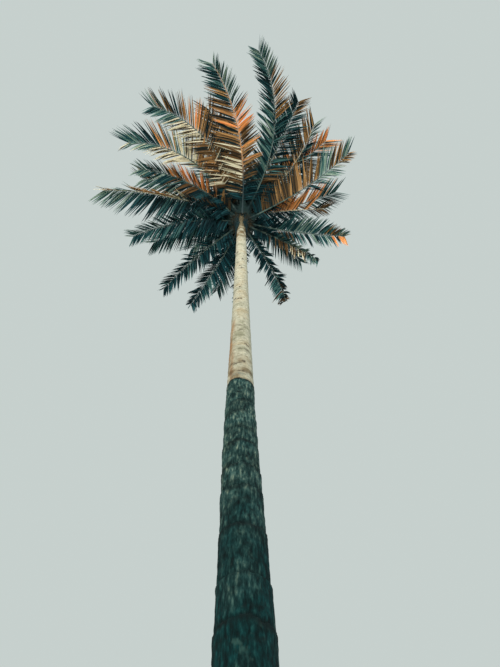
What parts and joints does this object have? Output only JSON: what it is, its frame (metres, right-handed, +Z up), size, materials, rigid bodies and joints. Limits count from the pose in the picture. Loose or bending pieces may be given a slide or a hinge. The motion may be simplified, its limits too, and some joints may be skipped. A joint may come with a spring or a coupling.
{
  "type": "coconut palm tree",
  "caption": "Tall coconut palm: a slender, slightly leaning ringed trunk with a flared foot, topped by a round crown of arching feather fronds.",
  "frame": {"origin": "centre of the flat cut under the trunk, at ground level", "axes": "+Z up along the trunk; -Y towards the side that the picture was taken from; -X the side that the trunk leans to"},
  "size_m": [7.484, 7.1621, 18.9464],
  "materials": {
    "trunk_bark": "rough pale grey bark with dark ring scars, stained dark on the lower trunk",
    "leaf_sheath": "coarse brown fibre",
    "young_leaf": "smooth closed leaf",
    "frond_leaf": "glossy leather-like leaflets, green with sunlit tan ones"
  },
  "bodies": {
    "root": {"trunk": "trunk_bark", "heart": "leaf_sheath", "spear": "young_leaf", "frond_01": "frond_leaf", "frond_02": "frond_leaf", "frond_03": "frond_leaf", "frond_04": "frond_leaf", "frond_05": "frond_leaf", "frond_06": "frond_leaf", "frond_07": "frond_leaf", "frond_08": "frond_leaf", "frond_09": "frond_leaf", "frond_10": "frond_leaf", "frond_11": "frond_leaf", "frond_12": "frond_leaf", "frond_13": "frond_leaf", "frond_14": "frond_leaf", "frond_15": "frond_leaf", "frond_16": "frond_leaf", "frond_17": "frond_leaf", "frond_18": "frond_leaf", "frond_19": "frond_leaf", "frond_20": "frond_leaf", "frond_21": "frond_leaf", "frond_22": "frond_leaf", "frond_23": "frond_leaf", "frond_24": "frond_leaf", "frond_25": "frond_leaf", "frond_26": "frond_leaf"}
  },
  "joints": []
}
